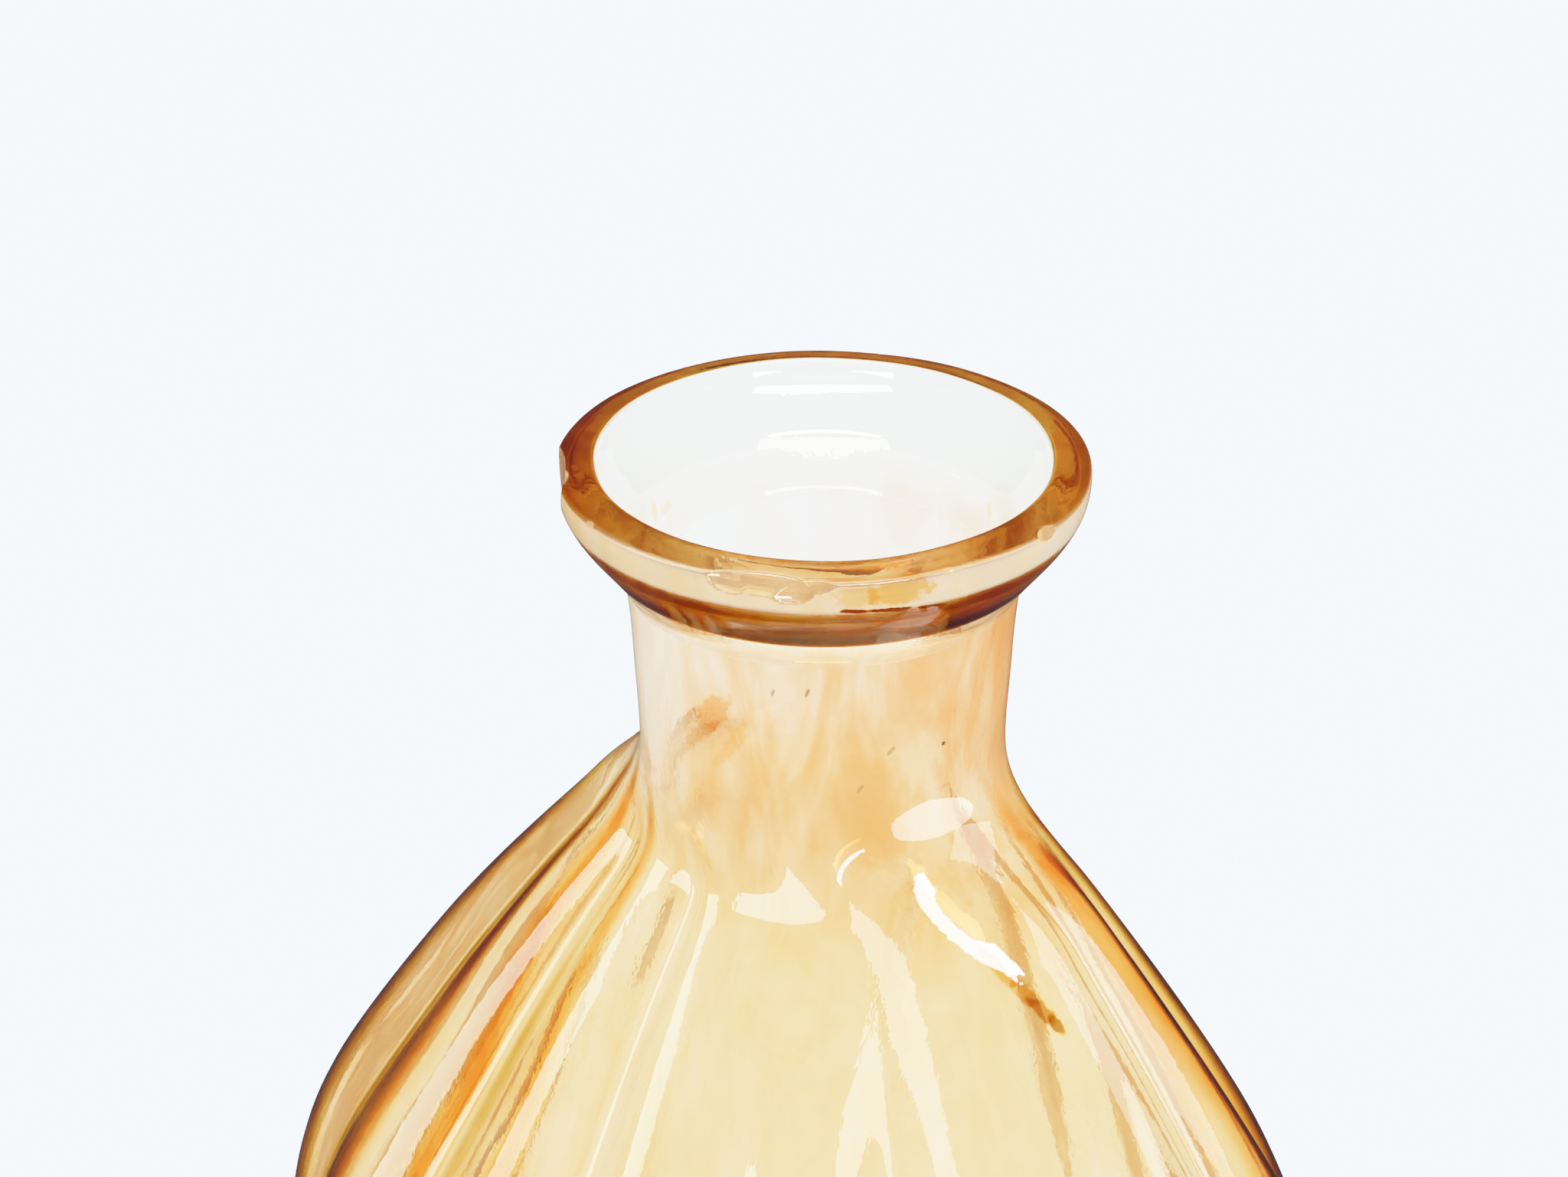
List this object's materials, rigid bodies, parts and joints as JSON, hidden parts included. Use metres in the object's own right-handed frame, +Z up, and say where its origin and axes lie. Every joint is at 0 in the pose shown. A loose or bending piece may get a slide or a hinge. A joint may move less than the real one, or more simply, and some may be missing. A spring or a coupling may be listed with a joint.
{
  "type": "glass carafe",
  "caption": "Amber blown-glass carafe with a thick flared lip, a short round neck and an oval, ribbed body on a pushed-up base; holds and pours liquid.",
  "frame": {"origin": "middle of the base, on the plane that the resting ring stands on", "axes": "+Z up along the neck; X along the long axis of the oval body; Y across its thin direction"},
  "size_m": [0.1316, 0.0792, 0.171],
  "materials": {
    "pale_amber_glass": "fire-polished clear pale amber, streaky, with small seeds",
    "deep_amber_glass": "fire-polished clear deep amber"
  },
  "bodies": {
    "root": {"blown_body": "pale_amber_glass", "lip_ring": "deep_amber_glass"}
  },
  "joints": []
}
